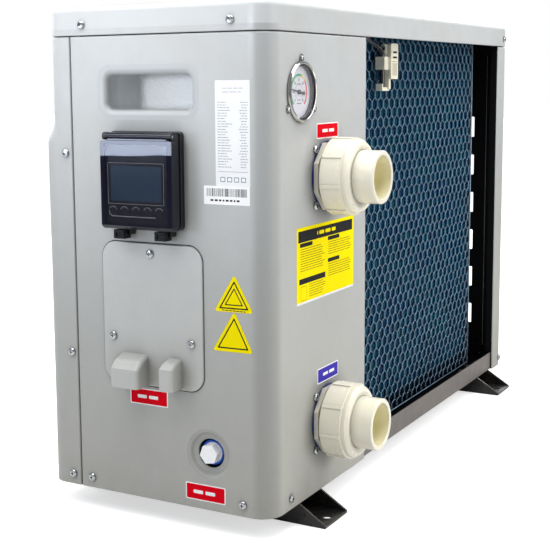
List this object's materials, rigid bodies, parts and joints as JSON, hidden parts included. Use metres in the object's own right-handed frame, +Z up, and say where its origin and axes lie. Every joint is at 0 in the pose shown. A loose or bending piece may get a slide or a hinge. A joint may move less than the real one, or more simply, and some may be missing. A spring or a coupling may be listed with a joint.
{
  "type": "heat pump unit",
  "caption": "Outdoor air-to-water heat pump box for a swimming pool, with rear finned coil and water unions, front fan, side controller under a flip lid, and bolt-down feet.",
  "frame": {"origin": "on the floor, at the centre of the four foot holes", "axes": "+X towards the control side, +Y towards the coil and water connections, +Z up"},
  "size_m": [0.8752, 0.399, 0.595],
  "materials": {
    "casing": "satin",
    "foot_black": "satin",
    "pan_grey": "satin",
    "screw_chrome": "polished",
    "zinc_steel": "satin",
    "steel_pin": "polished",
    "black_plastic": "satin",
    "key_rubber": "matte",
    "smoked_lid": "gloss",
    "screen": "gloss",
    "gauge_steel": "polished",
    "dial_white": "matte",
    "needle_black": "matte",
    "clear_lens": "gloss",
    "ivory": "satin",
    "blue_seal": "matte",
    "white_plug": "satin",
    "shell_grey": "matte",
    "compressor_black": "satin",
    "black_rubber": "matte",
    "valve_brass": "satin",
    "copper": "satin",
    "fin_blue": "satin",
    "net_grey": "satin",
    "fan_black": "satin",
    "motor_grey": "satin",
    "cream": "satin",
    "terminal_cream": "matte",
    "guard_black": "satin"
  },
  "bodies": {
    "cabinet": {"accumulator": "compressor_black", "ambient_sensor": "black_rubber", "base_pan": "pan_grey", "coil_guard": "net_grey", "compressor": "compressor_black", "compressor_mounts": "black_rubber", "controller_base": "black_plastic", "controller_fascia": "black_plastic", "display_glass": "screen", "drain_gasket": "blue_seal", "drain_socket": "white_plug", "electrical_box": "zinc_steel", "evaporator_end_plates": "zinc_steel", "evaporator_fins": "fin_blue", "fan_bracket": "zinc_steel", "fan_grille": "guard_black", "fan_motor": "motor_grey", "foot_bolts": "zinc_steel", "foot_rail_left": "foot_black", "foot_rail_right": "foot_black", "four_way_valve": "valve_brass", "front_panel": "casing", "gauge_case": "gauge_steel", "gauge_dial": "dial_white", "gauge_lens": "clear_lens", "gauge_screws": "screw_chrome", "handle_cup_left": "casing", "handle_cup_right": "casing", "heat_exchanger": "shell_grey", "hinge_pin": "steel_pin", "inlet_union_body": "ivory", "inlet_union_tail": "ivory", "outlet_union_body": "ivory", "outlet_union_tail": "ivory", "panel_screws": "screw_chrome", "partition_plate": "zinc_steel", "refrigerant_pipes": "copper", "sensor_holder": "cream", "side_panel_left": "casing", "side_panel_right": "casing", "terminal_block": "terminal_cream", "top_lid": "casing", "union_gaskets": "blue_seal", "union_screws": "screw_chrome", "wiring_cover": "casing"},
    "controller_lid": {"controller_lid": "smoked_lid"},
    "latch_left": {"latch_left": "black_plastic"},
    "latch_right": {"latch_right": "black_plastic"},
    "fan": {"fan_blades": "fan_black", "fan_shaft": "steel_pin", "fan_nut": "steel_pin"},
    "gauge_needle": {"gauge_needle": "needle_black"},
    "inlet_nut": {"inlet_union_nut": "ivory"},
    "outlet_nut": {"outlet_union_nut": "ivory"},
    "drain_plug": {"drain_plug": "white_plug"},
    "key_1": {"key_1": "key_rubber"},
    "key_2": {"key_2": "key_rubber"},
    "key_3": {"key_3": "key_rubber"},
    "key_4": {"key_4": "key_rubber"},
    "key_5": {"key_5": "key_rubber"}
  },
  "joints": [
    {"name": "controller_lid_hinge", "type": "hinge", "parent": "cabinet", "child": "controller_lid", "pos_m": [0.443, -0.007, 0.4494], "axis": [0, -1, 0], "range_deg": [0, 165]},
    {"name": "latch_left_hinge", "type": "hinge", "parent": "cabinet", "child": "latch_left", "pos_m": [0.4315, -0.0346, 0.3409], "axis": [0, 1, 0], "range_deg": [0, 60]},
    {"name": "latch_right_hinge", "type": "hinge", "parent": "cabinet", "child": "latch_right", "pos_m": [0.4315, 0.0204, 0.3409], "axis": [0, 1, 0], "range_deg": [0, 60]},
    {"name": "fan_spin", "type": "hinge", "parent": "cabinet", "child": "fan", "pos_m": [-0.118, -0.1, 0.234], "axis": [0, 1, 0], "continuous": true},
    {"name": "gauge_needle_turn", "type": "hinge", "parent": "cabinet", "child": "gauge_needle", "pos_m": [0.3486, 0.146, 0.4964], "axis": [0, 1, 0], "range_deg": [-215, 54], "stiffness_Nm_per_rad": 0.00002},
    {"name": "inlet_nut_turn", "type": "hinge", "parent": "cabinet", "child": "inlet_nut", "pos_m": [0.281, 0.175, 0.109], "axis": [0, 1, 0], "continuous": true},
    {"name": "outlet_nut_turn", "type": "hinge", "parent": "cabinet", "child": "outlet_nut", "pos_m": [0.281, 0.175, 0.399], "axis": [0, 1, 0], "continuous": true},
    {"name": "drain_plug_turn", "type": "hinge", "parent": "cabinet", "child": "drain_plug", "pos_m": [0.412, 0.068, 0.091], "axis": [1, 0, 0], "continuous": true},
    {"name": "key_1_press", "type": "slide", "parent": "cabinet", "child": "key_1", "axis": [-1, 0, 0], "range_m": [0, 0.0008], "stiffness_N_per_m": 300},
    {"name": "key_2_press", "type": "slide", "parent": "cabinet", "child": "key_2", "axis": [-1, 0, 0], "range_m": [0, 0.0008], "stiffness_N_per_m": 300},
    {"name": "key_3_press", "type": "slide", "parent": "cabinet", "child": "key_3", "axis": [-1, 0, 0], "range_m": [0, 0.0008], "stiffness_N_per_m": 300},
    {"name": "key_4_press", "type": "slide", "parent": "cabinet", "child": "key_4", "axis": [-1, 0, 0], "range_m": [0, 0.0008], "stiffness_N_per_m": 300},
    {"name": "key_5_press", "type": "slide", "parent": "cabinet", "child": "key_5", "axis": [-1, 0, 0], "range_m": [0, 0.0008], "stiffness_N_per_m": 300}
  ]
}
